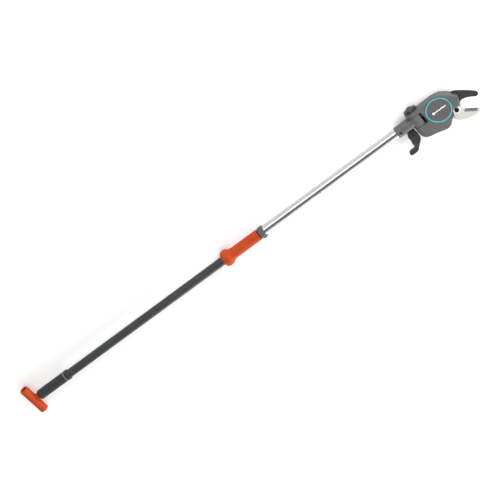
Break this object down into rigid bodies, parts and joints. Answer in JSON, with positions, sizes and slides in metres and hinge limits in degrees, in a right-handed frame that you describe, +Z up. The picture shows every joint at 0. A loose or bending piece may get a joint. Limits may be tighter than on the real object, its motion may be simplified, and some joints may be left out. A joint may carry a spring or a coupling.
{
  "type": "telescoping pole pruner",
  "caption": "Telescoping pole pruner with a geared bypass head, tilting on a wing knob, worked by a sliding orange sleeve or the T-handle at the butt.",
  "frame": {"origin": "centre of the bounding box footprint, on the floor under the pole", "axes": "+X along the pole from the T-handle to the cutting head, +Z up, square to the plane of the blades"},
  "size_m": [1.6304, 0.1438, 0.0506],
  "materials": {
    "silver_aluminium": "anodised satin",
    "dark_tube": "dark satin coating",
    "grey_casting": "satin glass-filled nylon",
    "disc_grey": "fine textured",
    "dark_plastic": "matt",
    "orange_plastic": "satin",
    "teal_plastic": "gloss",
    "white_print": "gloss",
    "pale_ring": "satin",
    "steel": "ground",
    "black_steel": "non-stick black coating",
    "cord": "braided"
  },
  "bodies": {
    "outer_pole": {"outer_tube": "silver_aluminium", "collet": "dark_plastic", "head_socket": "grey_casting", "socket_screws": "black_steel", "knob_stud": "steel", "pivot_pin": "steel", "guide_rollers": "dark_plastic", "roller_pins": "steel", "cord_link": "cord", "branch_hook_screw": "black_steel", "branch_hook_nut": "steel"},
    "lock_collar": {"lock_ring": "grey_casting"},
    "inner_pole": {"inner_tube": "dark_tube", "slide_bush": "dark_plastic", "butt_grip": "dark_plastic", "grip_ring": "pale_ring", "grip_collar": "dark_plastic", "butt_bush": "dark_plastic"},
    "sleeve": {"pull_sleeve": "orange_plastic", "sleeve_bushes": "dark_plastic", "carriage": "dark_plastic", "carriage_key": "steel", "carriage_screws": "black_steel", "pull_cord": "cord"},
    "pull_bar": {"t_handle": "orange_plastic", "t_rod": "steel", "rod_head": "steel"},
    "head": {"front_cover": "grey_casting", "back_cover": "grey_casting", "cover_screws": "black_steel", "hook_screws": "black_steel", "accent_ring": "teal_plastic", "ring_disc": "disc_grey", "twig_mark": "white_print", "counter_blade": "black_steel", "pivot_bolt": "black_steel", "pivot_nut": "black_steel", "drum_axle": "steel", "return_spring": "steel", "cord_head": "cord", "guide_sheave": "dark_plastic", "sheave_pin": "steel"},
    "drum": {"cord_drum": "dark_plastic", "drum_pinion": "steel", "cord_winding": "cord"},
    "blade": {"cutting_blade": "steel", "sector_gear": "steel", "sector_rivets": "steel", "hub_washer": "steel"},
    "wing_knob": {"tilt_knob": "dark_plastic", "knob_nut": "steel", "knob_washer": "steel"},
    "hook_arm": {"branch_hook": "dark_plastic"}
  },
  "joints": [
    {"name": "telescope_slide", "type": "slide", "parent": "outer_pole", "child": "inner_pole", "axis": [1, 0, 0], "range_m": [0, 0.3]},
    {"name": "collar_twist", "type": "hinge", "parent": "outer_pole", "child": "lock_collar", "pos_m": [0.08332, 0.02409, 0.0253], "axis": [1, 0, 0], "range_deg": [0, 60]},
    {"name": "sleeve_pull", "type": "slide", "parent": "outer_pole", "child": "sleeve", "axis": [-1, 0, 0], "range_m": [0, 0.172], "stiffness_N_per_m": 60, "springref_m": -0.05},
    {"name": "bar_pull", "type": "slide", "parent": "inner_pole", "child": "pull_bar", "axis": [-1, 0, 0], "range_m": [0, 0.172]},
    {"name": "head_tilt", "type": "hinge", "parent": "outer_pole", "child": "head", "pos_m": [0.63712, 0.02409, 0.0253], "axis": [0, 1, 0], "range_deg": [-45, 45]},
    {"name": "drum_spin", "type": "hinge", "parent": "head", "child": "drum", "pos_m": [0.70212, 0.01549, 0.0253], "axis": [0, 0, 1], "range_deg": [-421, 0]},
    {"name": "blade_pivot", "type": "hinge", "parent": "head", "child": "blade", "pos_m": [0.7397, -0.02329, 0.0308], "axis": [0, 0, 1], "range_deg": [0, 60.5]},
    {"name": "knob_turn", "type": "hinge", "parent": "outer_pole", "child": "wing_knob", "pos_m": [0.63712, 0.05909, 0.0253], "axis": [0, 1, 0], "range_deg": [0, 180]},
    {"name": "hook_fold", "type": "hinge", "parent": "outer_pole", "child": "hook_arm", "pos_m": [0.59912, -0.00991, 0.0253], "axis": [0, 0, 1], "range_deg": [-50, 0]}
  ],
  "couplings": [
    {"joint": "blade_pivot", "follows": "sleeve_pull", "rad_per_m": 6.079},
    {"joint": "drum_spin", "follows": "sleeve_pull", "rad_per_m": -42.553},
    {"joint": "bar_pull", "follows": "sleeve_pull", "ratio": 1}
  ]
}
